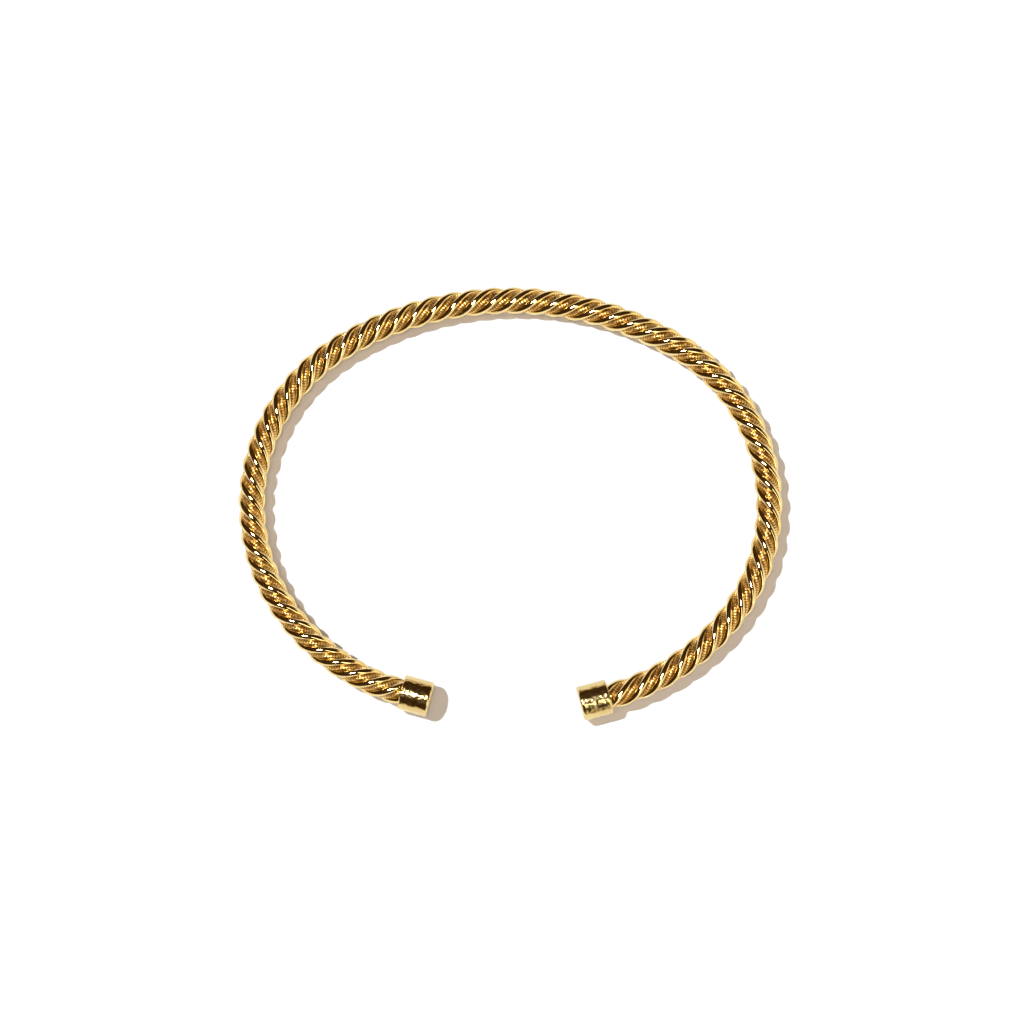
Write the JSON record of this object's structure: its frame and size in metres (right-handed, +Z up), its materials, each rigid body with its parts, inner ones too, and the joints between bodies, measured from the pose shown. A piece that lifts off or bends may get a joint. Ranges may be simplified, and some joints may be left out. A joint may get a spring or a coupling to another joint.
{
  "type": "torque bangle",
  "caption": "Open oval wrist bangle of twisted wire rope, smooth and fine milled wires by turns round a core, with a plain round cap on each end.",
  "frame": {"origin": "middle of the bangle's box, on the surface that it lies on", "axes": "+Z up through the wrist opening, the gap between the caps faces -Y, +X to the right cap's side"},
  "size_m": [0.0666, 0.0535, 0.0043],
  "materials": {
    "plain_wire": "polished yellow gold plate",
    "milled_wire": "gold plate over fine milled ridges",
    "end_cap": "polished yellow gold plate with fine scratches",
    "core_wire": "drawn wire, hidden in the rope"
  },
  "bodies": {
    "root": {"core_wire": "core_wire", "plain_wire_1": "plain_wire", "plain_wire_2": "plain_wire", "plain_wire_3": "plain_wire", "plain_wire_4": "plain_wire", "milled_wire_1": "milled_wire", "milled_wire_2": "milled_wire", "milled_wire_3": "milled_wire", "milled_wire_4": "milled_wire", "end_cap_left": "end_cap", "end_cap_right": "end_cap"}
  },
  "joints": []
}
